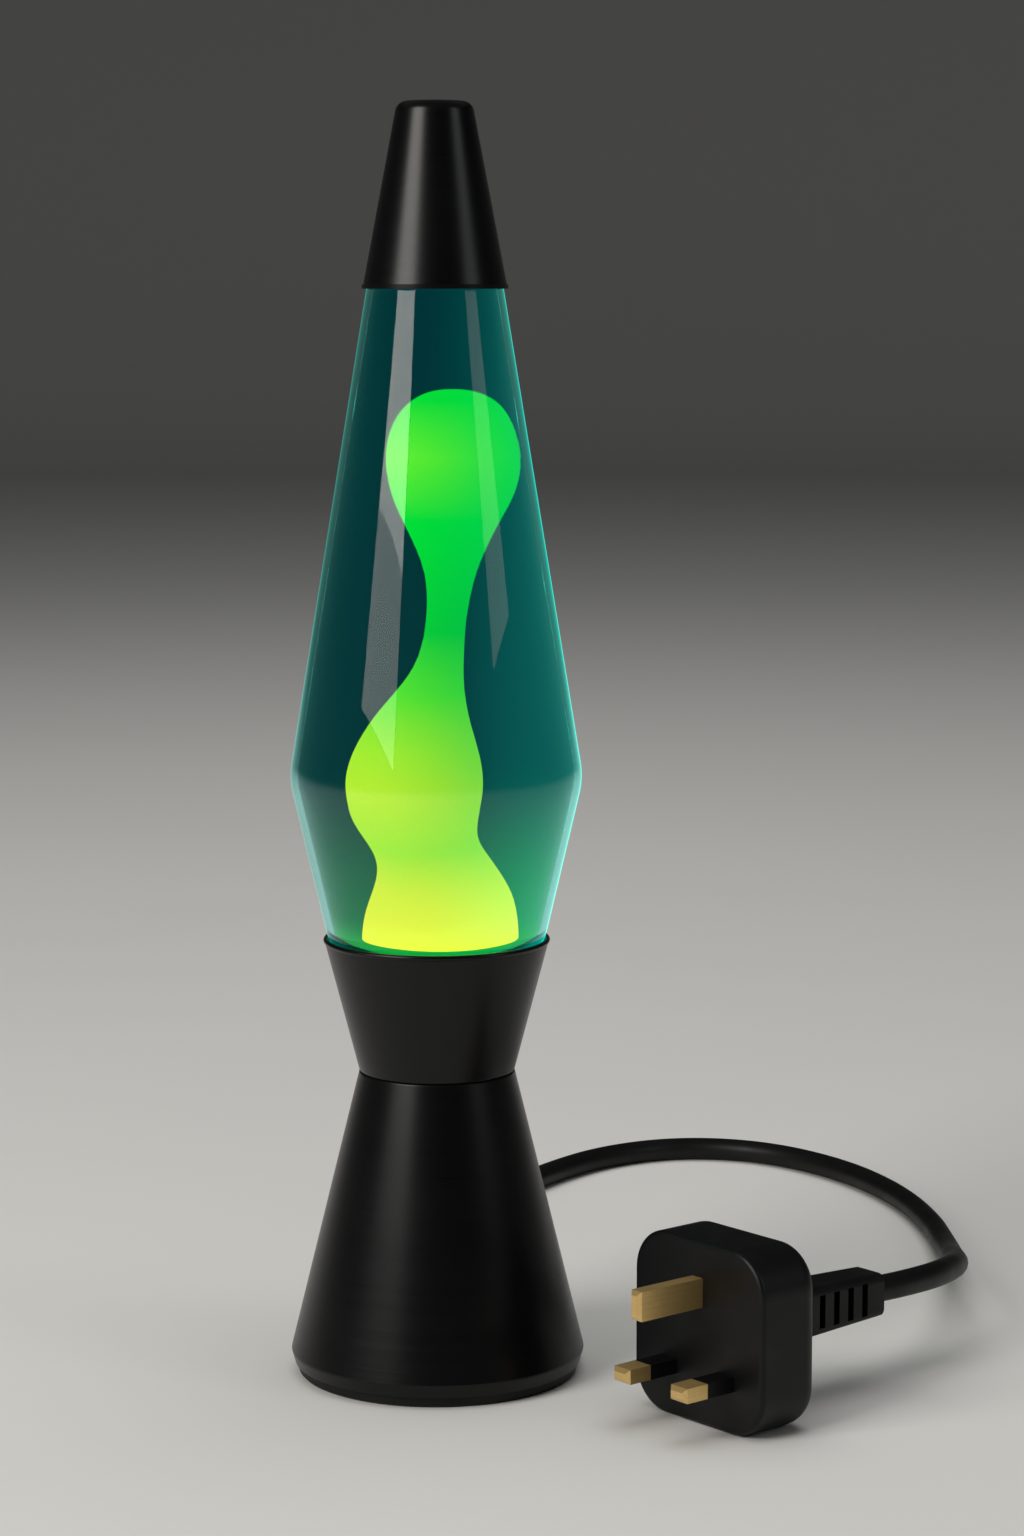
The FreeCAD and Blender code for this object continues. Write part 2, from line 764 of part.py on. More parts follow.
def cord_entry():
    """The rubber sleeve in the cone's back wall, and the grip that holds the jacket inside."""
    sleeve = new_body("cord_grommet")
    sketch = new_sketch(sleeve, "outline", "XY_Plane")
    bore = dim.cord_diameter / 2 + 0.04
    end = dim.grommet_end
    outline(sketch, [
        (bore, 33.4), (8.0, 33.4), (8.0, 35.4), (6.3, 35.4), (6.3, 43.4),
        (5.5, 44.2), (4.6, end), (bore, end),
    ])
    spin(sleeve, sketch, "turned")
    sleeve.Placement.Base = Vector(0, 0, float(dim.cord_exit_height))
    bind(sleeve, "Placement.Base.z", dim.cord_exit_height)

    middle = dim.cord_exit_height
    grip = new_body("cord_grip")
    block = new_sketch(grip, "block", offset=-22)
    rectangle(block, (-9.0, dim.cone_bottom), (9.0, middle - 0.2))
    pad(grip, block, 8)
    groove = new_sketch(grip, "groove", offset=-22)
    ring(groove, (0, middle), bore)
    pocket(grip, groove, length=10, backwards=True)
    clamp = new_body("grip_clamp")
    bar = new_sketch(clamp, "bar", offset=-22)
    rectangle(bar, (-9.0, middle + 0.6), (9.0, middle + 6.0))
    pad(clamp, bar, 8)
    notch = new_sketch(clamp, "notch", offset=-22)
    ring(notch, (0, middle), bore)
    pocket(clamp, notch, length=10, backwards=True)
    for part in (grip, clamp):
        holes = new_sketch(part, "screw_holes", "XY_Plane", offset=middle)
        for side in (-1, 1):
            ring(holes, (side * 6.6, 18.0), 1.2)
        pocket(part, holes, length=16, both_ways=True)
    screws = new_body("grip_screws")
    shank = new_sketch(screws, "shanks", "XY_Plane", offset=middle - 6)
    head = new_sketch(screws, "heads", "XY_Plane", offset=middle + 6)
    for side in (-1, 1):
        ring(shank, (side * 6.6, 18.0), 1.1)
        ring(head, (side * 6.6, 18.0), 2.1)
    pad(screws, shank, 12)
    pad(screws, head, 1.5)


def cord_inside():
    """The jacket from the sleeve's end to the grip, and the three cores that leave it."""
    jacket = new_body("inner_cord")
    sketch = new_sketch(jacket, "section", offset=-dim.grommet_end)
    ring(sketch, (0, dim.cord_exit_height), dim.cord_diameter / 2)
    pad(jacket, sketch, dim.grommet_end - dim.jacket_end)
    start = float(dim.jacket_end) - 0.08
    for label, side in (("live_lead", 1), ("neutral_lead", -1)):
        tube(label, [
            (side * 2.0, start, 13.4), (side * 2.0, 8.4, 13.4),
            (side * 2.4, 4.0, 14.0), (side * 3.6, 3.2, 19.4),
            (side * 4.9, 7.4, 25.4), (side * 5.2, 9.0, 32.0), (side * 5.2, 9.0, 40.4),
        ], dim.core_diameter)
    tube("earth_lead", [
        (0, start, 10.7), (0, 8.4, 10.7), (-2.2, 4.4, 11.0),
        (-6.6, 1.0, 14.5), (-10.3, 0, 20.0), (-10.3, 0, 26.0),
    ], dim.core_diameter)
    tag = new_body("earth_tag")
    plate = new_sketch(tag, "plate", "XY_Plane", offset=dim.strap_bottom - 0.8)
    rectangle(plate, (-17.6, -3.0), (-8.7, 3.0))
    ring(plate, (-14.5, 0), 1.6)
    pad(tag, plate, 0.8)
    barrel = new_sketch(tag, "barrel", "XY_Plane", offset=26.0)
    ring(barrel, (-10.3, 0), 1.55)
    pad(tag, barrel, dim.strap_bottom - 0.8 - 26.0)
    screw = new_body("earth_screw")
    shank = new_sketch(screw, "shank", "XY_Plane", offset=dim.strap_bottom - 0.8)
    ring(shank, (-14.5, 0), 1.5)
    pad(screw, shank, 4.2)
    head = new_sketch(screw, "head", "XY_Plane", offset=dim.strap_bottom - 2.6)
    ring(head, (-14.5, 0), 2.4)
    pad(screw, head, 1.8)


def plug_point(x, depth, height):
    """A point of the plug's own frame, in the lamp's frame."""
    turn = math.radians(float(dim.plug_yaw))
    return (
        float(dim.plug_x) + x * math.cos(turn) + depth * math.sin(turn),
        float(dim.plug_y) - x * math.sin(turn) + depth * math.cos(turn),
        height,
    )


def free_cord():
    """The cord from the sleeve, over the surface behind the lamp, to the plug's relief."""
    height = float(dim.plug_side) / 2
    end = float(dim.relief_end)
    route = [
        (0.0, float(dim.grommet_end) + 0.2, float(dim.cord_exit_height)),
        (0.0, 86.0, 11.6),
        (0.6, 113.0, 5.6),
        (4.5, 145.0, 3.75),
        (15.0, 180.0, 3.75),
        (32.0, 212.5, 3.75),
        (53.0, 239.0, 3.75),
        (80.0, 252.0, 3.75),
        (109.0, 245.0, 3.75),
        (133.5, 218.0, 3.75),
        (148.5, 183.0, 3.75),
        (155.0, 147.0, 3.75),
        (155.5, 110.0, 5.4),
        (153.0, 74.0, 11.6),
        (150.0, 36.0, 19.6),
        plug_point(0, end + 20.0, height - 0.6),
        plug_point(0, end + 0.15, height),
    ]
    tube("cord", route, dim.cord_diameter)


# ---------------------------------------------------------------------- plug


def plug_shell():
    """The moulded outside of the plug, hollow inside, standing on its lower edge."""
    body = new_body("plug_shell")
    half = dim.plug_side / 2
    side = dim.plug_side
    face = new_sketch(body, "face")
    rectangle(face, (-half, 0), (half, side))
    block = pad(body, face, dim.plug_depth, backwards=True)
    corners = [
        f"Edge{number}" for number, edge in enumerate(block.Shape.Edges, start=1)
        if abs(edge.tangentAt(edge.FirstParameter).y) > 0.99
    ]
    fillet = body.newObject("PartDesign::Fillet", "plug_corners")
    fillet.Base = (block, corners)
    bind(fillet, "Radius", dim.plug_corner)
    doc.recompute()
    for name, depth, radius in (("back", float(dim.plug_depth), 5.0), ("front", 0.0, 1.4)):
        edges = [
            f"Edge{number}" for number, edge in enumerate(fillet.Shape.Edges, start=1)
            if all(abs(v.Point.y - depth) < 1e-6 for v in edge.Vertexes)
        ]
        smooth = body.newObject("PartDesign::Fillet", f"plug_{name}_round")
        smooth.Base = (fillet, edges)
        smooth.Radius = radius
        doc.recompute()
        fillet = smooth
    skin = dim.plug_skin
    cavity = new_sketch(body, "cavity", offset=-skin)
    rectangle(cavity, (skin * 1.4 - half, skin * 1.4), (half - skin * 1.4, side - skin * 1.4))
    pocket(body, cavity, length=dim.plug_depth - 2 * skin)
    holes = new_sketch(body, "pin_holes")
    pin_sections(holes, 0.0)
    pocket(body, holes, length=skin + 0.5)
    place_on_plug(body)


def pin_sections(sketch, grow):
    """The three pin sections, upright earth above the two flat ones."""
    rectangle(
        sketch,
        (-2.0 - grow, dim.earth_height - 4.0 - grow),
        (2.0 + grow, dim.earth_height + 4.0 + grow),
    )
    for side in (-1, 1):
        centre = side * dim.live_offset
        rectangle(
            sketch,
            (centre - 3.175 - grow, dim.live_height - 2.0 - grow),
            (centre + 3.175 + grow, dim.live_height + 2.0 + grow),
        )


def plug_insert():
    """The rigid carrier moulded into the plug: it holds the pins' roots."""
    body = new_body("plug_insert")
    half = dim.plug_side / 2 - dim.plug_skin * 1.4 - 0.1
    low = dim.plug_skin * 1.4 + 0.1
    plate = new_sketch(body, "plate", offset=-(dim.plug_skin + 0.05))
    rectangle(plate, (-half, low), (half, dim.plug_side - low))
    pin_sections(plate, 0.02)
    pad(body, plate, 5.0, backwards=True)
    place_on_plug(body)


def chamfered_pin(label, centre, half_wide, half_high, length):
    """A rectangular brass pin with its tip chamfered all round."""
    body = new_body(label)
    section = new_sketch(body, "section", offset=-dim.pin_root)
    x, z = centre
    rectangle(section, (x - half_wide, z - half_high), (x + half_wide, z + half_high))
    bar = pad(body, section, dim.pin_root + length)
    tip = [
        f"Edge{number}" for number, edge in enumerate(bar.Shape.Edges, start=1)
        if all(abs(v.Point.y + float(length)) < 1e-6 for v in edge.Vertexes)
    ]
    chamfer = body.newObject("PartDesign::Chamfer", f"{label}_tip")
    chamfer.Base = (bar, tip)
    chamfer.Size = 1.1
    doc.recompute()
    return body


def plug_pins():
    """Earth, live and neutral pins; the two flat ones are necked for their sleeves."""
    place_on_plug(chamfered_pin("earth_pin", (0, dim.earth_height), 2.0, 4.0, dim.earth_length))
    neck = 0.4
    sleeve_end = 9.4
    for label, side in (("live_pin", 1), ("neutral_pin", -1)):
        centre = (side * dim.live_offset, dim.live_height)
        pin = chamfered_pin(label, centre, 3.175, 2.0, dim.live_length)
        low = (centre[0] - 3.175, centre[1] - 2.0)
        high = (centre[0] + 3.175, centre[1] + 2.0)
        step = new_sketch(pin, "neck")
        rectangle(step, (low[0] - 1, low[1] - 1), (high[0] + 1, high[1] + 1))
        rectangle(step, (low[0] + neck, low[1] + neck), (high[0] - neck, high[1] - neck))
        pocket(pin, step, length=sleeve_end, backwards=True)
        place_on_plug(pin)
        sleeve = new_body(label.replace("_pin", "_sleeve"))
        section = new_sketch(sleeve, "section")
        rectangle(section, low, high)
        rectangle(section, (low[0] + neck, low[1] + neck), (high[0] - neck, high[1] - neck))
        pad(sleeve, section, sleeve_end)
        place_on_plug(sleeve)


def plug_fuse():
    """The cartridge fuse and its two clips behind the insert."""
    depth = 12.2
    height = dim.plug_side / 2
    half = dim.fuse_length / 2
    fuse = new_body("fuse")
    section = new_sketch(fuse, "section", "YZ_Plane", offset=-half)
    ring(section, (depth, height), dim.fuse_diameter / 2)
    pad(fuse, section, dim.fuse_length)
    place_on_plug(fuse)
    clips = new_body("fuse_clips")
    reach = dim.fuse_diameter / 2
    for index, start in enumerate((-half + 0.8, half - 5.8)):
        sketch = new_sketch(clips, f"clip{index}", "YZ_Plane", offset=start)
        rectangle(sketch, (8.3, height - reach - 0.7), (14.6, height + reach + 0.7))
        pad(clips, sketch, 5.0)
        bed = new_sketch(clips, f"bed{index}", "YZ_Plane", offset=start - 0.5)
        ring(bed, (depth, height), reach + 0.05)
        pocket(clips, bed, length=6.0, backwards=True)
        mouth_cut = new_sketch(clips, f"mouth{index}", "YZ_Plane", offset=start - 0.5)
        rectangle(mouth_cut, (13.2, height - 2.2), (16.0, height + 2.2))
        pocket(clips, mouth_cut, length=6.0, backwards=True)
    place_on_plug(clips)


def plug_relief():
    """The ribbed strain relief behind the plug, tapering towards the cord."""
    body = new_body("plug_relief")
    height = dim.plug_side / 2
    start = dim.plug_depth
    near = new_sketch(body, "near", offset=-start)
    rectangle(near, (-7.6, height - 7.4), (7.6, height + 7.4))
    far = new_sketch(body, "far", offset=-dim.relief_end)
    rectangle(far, (-6.2, height - 6.0), (6.2, height + 6.0))
    loft = body.newObject("PartDesign::AdditiveLoft", "relief_taper")
    loft.Profile = far
    loft.Sections = [near]
    doc.recompute()
    long_edges = [
        f"Edge{number}" for number, edge in enumerate(loft.Shape.Edges, start=1)
        if abs(edge.tangentAt(edge.FirstParameter).y) > 0.99
    ]
    fillet = body.newObject("PartDesign::Fillet", "relief_round")
    fillet.Base = (loft, long_edges)
    fillet.Radius = 2.4
    doc.recompute()
    end_edges = [
        f"Edge{number}" for number, edge in enumerate(fillet.Shape.Edges, start=1)
        if all(abs(v.Point.y - float(dim.relief_end)) < 1e-6 for v in edge.Vertexes)
    ]
    chamfer = body.newObject("PartDesign::Chamfer", "relief_end")
    chamfer.Base = (fillet, end_edges)
    chamfer.Size = 1.6
    doc.recompute()
    first = 6.5
    pitch = 5.6
    for side in (-1, 1):
        slots = new_sketch(body, f"slots{side + 1}", "YZ_Plane", offset=side * 3.2)
        for step in range(6):
            low = start + first + step * pitch
            rectangle(slots, (low, height - 4.6), (low + 2.2, height + 4.6))
        pocket(body, slots, length=8, backwards=side > 0)
    place_on_plug(body)


# ----------------------------------------------------------------- build all

for make in (
    base_cone, collar_cup, waist_rivets, lampholder_bracket, bottle_seat, bottom_pieces,
    lampholder, bulb, glass_bottle, bottle_filling, bottle_closure, top_cap,
    cord_entry, cord_inside, free_cord,
    plug_shell, plug_insert, plug_pins, plug_fuse, plug_relief,
):
    make()
doc.recompute()

for thing in doc.Objects:
    if "Invalid" in thing.State or "Error" in thing.State:
        raise RuntimeError(f"{thing.Name} failed: {thing.State}")
for node in nodes:
    if node.Shape.isNull() or not node.Shape.isValid() or not node.Shape.Solids:
        raise RuntimeError(f"{node.Label} has no valid solid")

os.makedirs("parts", exist_ok=True)
for node in nodes:
    node.Shape.exportStep(f"parts/{node.Label}.step")
print(f"{len(nodes)} nodes written")
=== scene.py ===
# %% [markdown]
# # A lava lamp, dressed in Blender
#
# The lamp is a spun aluminium foot made of two cones that meet at a narrow
# waist, a glass bottle that stands in the upper cone, a black cap that drops
# over the bottle's neck, and a mains lead with a fused plug. The frame is the
# engineering model of all of that, already at its real size in metres. This
# lesson keeps every hard part of the frame and gives it a finish, and makes
# again the parts that are soft, clear or glowing: the lead, the glass, the
# coloured liquid and the wax.

import json
import math

import bpy
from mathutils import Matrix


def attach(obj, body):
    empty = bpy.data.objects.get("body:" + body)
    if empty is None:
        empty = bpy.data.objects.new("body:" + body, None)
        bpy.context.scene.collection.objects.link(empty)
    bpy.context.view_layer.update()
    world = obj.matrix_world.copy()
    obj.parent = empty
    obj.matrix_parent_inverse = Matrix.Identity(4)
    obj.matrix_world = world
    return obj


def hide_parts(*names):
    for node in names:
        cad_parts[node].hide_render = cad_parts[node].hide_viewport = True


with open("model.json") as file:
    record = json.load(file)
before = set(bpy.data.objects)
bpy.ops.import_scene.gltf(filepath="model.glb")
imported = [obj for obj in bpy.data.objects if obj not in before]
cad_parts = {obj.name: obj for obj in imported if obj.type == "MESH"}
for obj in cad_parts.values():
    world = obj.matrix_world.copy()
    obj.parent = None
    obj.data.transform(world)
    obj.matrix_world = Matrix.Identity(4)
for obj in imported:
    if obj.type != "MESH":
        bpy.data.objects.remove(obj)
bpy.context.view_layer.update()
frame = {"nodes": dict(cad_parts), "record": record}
nodes = frame["nodes"]
MM = 0.001
print("nodes in the frame:", len(nodes))

# %% [markdown]
# ## The camera
#
# A lamp is seen best a little from above, with a long lens, so that its cones
# keep their true slopes. A short lens close by would make the foot look wide
# and the cap small. The camera stands a metre away, slightly to the right, so
# the lead and its plug fall on the right of the lamp.

# %% Camera
LENS = 86.72
SENSOR = 36
CAMERA_PLACE = (0.0208, -1.0082, 0.3002)
LOOKING_DOWN = math.radians(7.392)


def place_camera():
    """Adds the camera that the scene is seen through."""
    lens = bpy.data.cameras.new("camera")
    lens.lens = LENS
    lens.sensor_width = SENSOR
    camera = bpy.data.objects.new("camera", lens)
    bpy.context.scene.collection.objects.link(camera)
    camera.location = CAMERA_PLACE
    camera.rotation_euler = (math.pi / 2 - LOOKING_DOWN, 0, 0)
    bpy.context.scene.camera = camera
    return camera


camera = place_camera()
print("camera:", [round(v, 3) for v in camera.location], "lens", camera.data.lens)

# %% [markdown]
# ## The mains lead
#
# A lead is one length of something springy. It leaves the back of the foot
# through a tapered grommet, sinks to the table under its own weight, goes
# round behind the lamp in one loose loop, and rises into the plug, which
# stands on its edge. A NURBS spline is the right tool: its line stays smooth
# between a few guiding points, where a chain of straight pieces would look
# like bent wire. The order of the spline is set after its points are in,
# because set before, it falls back to straight runs. Its thickness is kept in
# the points, as half the lead's width, so that the curve's box is right too.

# %% Mains lead
LEAD_WIDTH = 7.4 * MM
LEAD_ROUTE = [
    (0, 64, 12.5),
    (0, 86, 11.6),
    (0.6, 113, 5.6),
    (4.5, 145, 3.75),
    (15, 180, 3.75),
    (32, 212.5, 3.75),
    (53, 239, 3.75),
    (80, 252, 3.75),
    (109, 245, 3.75),
    (133.5, 218, 3.75),
    (148.5, 183, 3.75),
    (155, 147, 3.75),
    (155.5, 110, 5.4),
    (153, 74, 11.6),
    (150, 36, 19.6),
    (135.88, 2.28, 24.4),
    (120.67, -10.48, 25),
]


def lay_lead(name, route, width):
    """Lays a round lead along a route of points in millimetres."""
    line = bpy.data.curves.new(name, "CURVE")
    line.dimensions = "3D"
    spline = line.splines.new("NURBS")
    spline.points.add(len(route) - 1)
    for point, place in zip(spline.points, route):
        point.co = (*[v * MM for v in place], 1)
        point.radius = width / 2
    spline.order_u = 3
    spline.use_endpoint_u = True
    spline.resolution_u = 20
    line.bevel_depth = 1
    line.bevel_resolution = 6
    lead = bpy.data.objects.new(name, line)
    bpy.context.scene.collection.objects.link(lead)
    return lead


mains_lead = lay_lead("mains_lead", LEAD_ROUTE, LEAD_WIDTH)
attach(mains_lead, "base")
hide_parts("cord")
print("the lead has", len(LEAD_ROUTE), "guiding points")

# %% [markdown]
# ## Writing finishes as sums
#
# A finish is a small net of shader nodes. Drawn by hand it is a web of wires;
# written out it is mostly arithmetic, so a wire gets the arithmetic signs of
# Python and each sum adds its own Math node. Everything else, such as a noise
# or a ramp, comes from one method that takes the node's type, its settings
# and what goes into its sockets. Colours are never put through Math nodes,
# which would turn them grey; they are blended with a Mix node.


# %% Wires and finishes
class Wire:
    """One output of a node. Sums on wires add Math nodes."""

    def __init__(self, finish, node, output=0):
        self.finish = finish
        self.node = node
        self.socket = node.outputs[output]

    def out(self, output):
        """The same node's other output."""
        return Wire(self.finish, self.node, output)

    def sum(self, operation, *values):
        """Adds a Math node that works on the values in their order."""
        settings = {"operation": operation}
        return self.finish.add("Math", settings, dict(enumerate(values)))

    def __add__(self, other):
        return self.sum("ADD", self, other)

    def __sub__(self, other):
        return self.sum("SUBTRACT", self, other)

    def __rsub__(self, other):
        return self.sum("SUBTRACT", other, self)

    def __mul__(self, other):
        return self.sum("MULTIPLY", self, other)

    def __pow__(self, other):
        return self.sum("POWER", self, other)

    __radd__ = __add__
    __rmul__ = __mul__


class Finish:
    """A material made of nodes, with one Principled shader."""

    def __init__(self, name, **constants):
        self.material = bpy.data.materials.new(name)
        self.material.use_nodes = True
        self.tree = self.material.node_tree
        self.tree.nodes.clear()
        self.output = self.tree.nodes.new("ShaderNodeOutputMaterial")
        self.shader = self.tree.nodes.new("ShaderNodeBsdfPrincipled")
        self.tree.links.new(self.shader.outputs[0], self.output.inputs["Surface"])
        for socket, value in constants.items():
            self.set(socket.replace("_", " "), value)

    def set(self, socket, value):
        """Sets one of the shader's own sockets, or wires it."""
        self.fill(self.shader, {socket: value})

    def fill(self, node, sockets):
        """Puts values and wires into a node's sockets."""
        for socket, value in sockets.items():
            if isinstance(value, Wire):
                self.tree.links.new(value.socket, node.inputs[socket])
            else:
                node.inputs[socket].default_value = value

    def add(self, kind, settings=None, sockets=None):
        """Adds a node: its settings first, then its sockets."""
        node = self.tree.nodes.new("ShaderNode" + kind)
        for setting, value in (settings or {}).items():
            if setting == "stops":
                set_stops(node.color_ramp, value)
            else:
                setattr(node, setting, value)
        self.fill(node, sockets or {})
        return Wire(self, node)

    def place(self):
        """Where on the lamp the point is, in metres."""
        return self.add("TexCoord").out("Object")

    def axes(self, vector):
        """A vector's x, y and z."""
        parts = self.add("SeparateXYZ", None, {0: vector})
        return parts, parts.out(1), parts.out(2)

    def vector(self, x, y, z):
        """Three numbers as one vector."""
        return self.add("CombineXYZ", None, {0: x, 1: y, 2: z})

    def noise(self, vector, scale, detail=2.0, roughness=0.5):
        """Cloudy noise from 0 to 1."""
        sockets = {
            "Vector": vector,
            "Scale": scale,
            "Detail": detail,
            "Roughness": roughness,
        }
        return self.add("TexNoise", None, sockets)

    def ease(self, value, low, high, to_low=0.0, to_high=1.0):
        """Eases from one number to another while value goes from low to high."""
        sockets = {
            "Value": value,
            "From Min": low,
            "From Max": high,
            "To Min": to_low,
            "To Max": to_high,
        }
        return self.add("MapRange", {"interpolation_type": "SMOOTHSTEP"}, sockets)

    def mix(self, factor, first, second):
        """Blends two colours."""
        sockets = {0: factor, 6: first, 7: second}
        return self.add("Mix", {"data_type": "RGBA"}, sockets).out(2)

    def bump(self, height, strength, depth, normal=None):
        """Turns a height into a change of the surface's direction."""
        sockets = {"Height": height, "Strength": strength, "Distance": depth}
        if normal is not None:
            sockets["Normal"] = normal
        return self.add("Bump", None, sockets)


def set_stops(ramp, stops):
    """Gives a colour ramp its stops, which are (place, colour)."""
    while len(ramp.elements) < len(stops):
        ramp.elements.new(0.5)
    for element, (place, colour) in zip(ramp.elements, stops):
        element.position = place
        element.color = colour


def tint(red, green, blue):
    """A colour as a paint chart gives it, from 0 to 255, made linear."""
    parts = []
    for part in (red, green, blue):
        share = part / 255
        low = share / 12.92
        high = ((share + 0.055) / 1.055) ** 2.4
        parts.append(low if share <= 0.04045 else high)
    return (*parts, 1)


finishes = {}
print("a mid grey made linear:", [round(v, 3) for v in tint(128, 128, 128)])

# %% [markdown]
# ## Satin black on spun aluminium
#
# The cones and the cap are spun on a lathe from flat discs. The tool leaves
# rings all the way round, too fine to count, and the thin satin lacquer does
# not quite fill them. So the finish needs rings at a constant distance along
# the wall, whether the wall stands up or lies flat: height plus radius grows
# along both. A noise that is squeezed hard in that direction and hardly at
# all round the lamp gives rings that come and go, as a hand-held tool's do.


# %% Satin black aluminium
def spun_black():
    """Black lacquer over the rings of spinning."""
    finish = Finish("satin_black_spun_aluminium", Specular_IOR_Level=0.26)
    place = finish.place()
    x, y, z = finish.axes(place)
    radius = (x * x + y * y) ** 0.5
    along = z + radius
    coarse = finish.noise(finish.vector(x * 9, y * 9, along * 1500), 1.0, 3.0)
    fine = finish.noise(finish.vector(x * 25, y * 25, along * 5200), 1.0, 2.0)
    rings = coarse * 0.6 + fine * 0.4
    smears = finish.noise(place, 38.0, 4.0, 0.6)
    specks = finish.noise(place, 2600.0, 1.0)
    dark = tint(4, 4, 5)
    worn = tint(12, 12, 12)
    finish.set("Base Color", finish.mix(rings * smears, dark, worn))
    finish.set("Roughness", rings * 0.14 + smears * 0.06 + 0.2)
    skin = finish.bump(specks, 0.04, 0.02 * MM)
    finish.set("Normal", finish.bump(rings, 0.22, 0.03 * MM, skin))
    return finish.material


finishes["black_aluminium"] = spun_black()
print("made", finishes["black_aluminium"].name)

# %% [markdown]
# ## Metals
#
# Zinc-plated steel is grey and slightly cloudy, brass is warm and shows the
# lines of the bar it was cut from. Both are metals, so the colour lives in
# the reflection; what sells them is uneven roughness. The pins of the plug
# are turned with the plug, so the brass lines are turned the same way with a
# Mapping node.


# %% Steel, brass and tungsten
PLUG_TURN = math.radians(50)


def metal(name, light, dark, rough, stretch, turn=0.0, bare=1.0):
    """A bare metal with fine lines along its length."""
    finish = Finish(name, Metallic=bare)
    place = finish.place()
    turned = finish.add(
        "Mapping",
        {"vector_type": "POINT"},
        {"Vector": place, "Rotation": (0, 0, turn)},
    )
    x, y, z = finish.axes(turned)
    lines = finish.noise(finish.vector(x * stretch, y * 60, z * stretch), 1.0, 3.0)
    clouds = finish.noise(place, 180.0, 3.0, 0.6)
    finish.set("Base Color", finish.mix(lines * clouds * 1.8, light, dark))
    finish.set("Roughness", clouds * 0.14 + lines * 0.1 + rough)
    finish.set("Normal", finish.bump(lines, 0.18, 0.02 * MM))
    return finish.material


finishes["steel"] = metal(
    "zinc_plated_steel", tint(196, 198, 200), tint(140, 143, 148), 0.22, 2400
)
finishes["brass"] = metal(
    "drawn_brass", tint(238, 204, 136), tint(204, 166, 100), 0.2, 3000, PLUG_TURN, 0.75
)
finishes["tungsten"] = metal(
    "tungsten_wire", tint(120, 120, 122), tint(80, 80, 82), 0.3, 3000
)
print("made", [finishes[slot].name for slot in ("steel", "brass", "tungsten")])

# %% [markdown]
# ## Black plastic and rubber
#
# The plug is moulded in a hard black plastic whose mould was spark-eroded, so
# its skin is a very fine even grain. The lead, its grommet and the sleeve
# behind the plug are a softer compound: a little duller, with faint flow
# marks. Neither is ever quite black, and the gloss is never the same all
# over.


# %% Plastics and rubber
def moulded(name, colour, rub, grain, rough, depth):
    """A moulded skin: even grain, slow changes of gloss."""
    finish = Finish(name)
    place = finish.place()
    pores = finish.noise(place, grain, 2.0, 0.6)
    flow = finish.noise(place, 70.0, 4.0, 0.55)
    handled = finish.ease(flow, 0.42, 0.68)
    finish.set("Base Color", finish.mix(handled, colour, rub))
    finish.set("Roughness", pores * 0.1 - handled * 0.07 + rough)
    ripples = finish.bump(flow, 0.12, 0.05 * MM)
    finish.set("Normal", finish.bump(pores, 0.2, depth, ripples))
    finish.set("Specular IOR Level", 0.26)
    return finish.material


finishes["black_plastic"] = moulded(
    "grained_black_plastic", tint(6, 6, 7), tint(11, 11, 12), 3300.0, 0.4, 0.03 * MM
)
finishes["black_rubber"] = moulded(
    "soft_black_rubber", tint(7, 7, 7), tint(14, 14, 13), 2100.0, 0.46, 0.05 * MM
)
finishes["phenolic"] = moulded(
    "brown_phenolic", tint(46, 26, 16), tint(70, 40, 24), 1500.0, 0.3, 0.03 * MM
)
finishes["white_liner"] = moulded(
    "white_cap_liner", tint(222, 220, 212), tint(206, 203, 192), 1800.0, 0.5, 0.02 * MM
)
finishes["ceramic"] = moulded(
    "fuse_ceramic", tint(228, 224, 214), tint(208, 202, 190), 1200.0, 0.35, 0.02 * MM
)
finishes["brown_core"] = moulded(
    "brown_lead_core", tint(92, 52, 30), tint(110, 64, 38), 1800.0, 0.4, 0.02 * MM
)
finishes["blue_core"] = moulded(
    "blue_lead_core", tint(36, 84, 168), tint(50, 100, 182), 1800.0, 0.4, 0.02 * MM
)
print("made", len(finishes), "finishes so far")


# %% Striped earth core
def striped_core():
    """Green with yellow stripes that wind round the core."""
    finish = Finish("green_yellow_core", Roughness=0.42)
    x, y, z = finish.axes(finish.place())
    wave = finish.add("Math", {"operation": "SINE"}, {0: (y + z + x) * 900})
    stripe = finish.ease(wave, -0.1, 0.1)
    green, yellow = tint(40, 130, 60), tint(224, 208, 60)
    finish.set("Base Color", finish.mix(stripe, green, yellow))
    grain = finish.noise(finish.place(), 1800.0)
    finish.set("Normal", finish.bump(grain, 0.15, 0.02 * MM))
    return finish.material


finishes["green_core"] = striped_core()
print("made", finishes["green_core"].name)

# %% [markdown]
# ## Glass
#
# The bottle's wall is almost two millimetres thick. Straight on it is clear,
# but at the two sides the eye looks along the wall for centimetres, and
# there the real lamp glows turquoise: the light from the liquid runs inside
# it. A real wall with an outside and an inside gives that line by itself,
# once light is slowly absorbed on its way through the glass. The glow on top
# of it is painted light, given out as emission: a thin line close to the
# outline and a faint one near it, both driven by how side-on the wall is
# seen, and painted brighter on the right. The glass bends light a little less
# than window glass does, so that a pale room does not wash out the dark
# liquid behind it.


# %% Clear glass
GLASS_IOR = 1.34
CLOSE_TO_EDGE = 16.0
NEAR_EDGE = 3.5


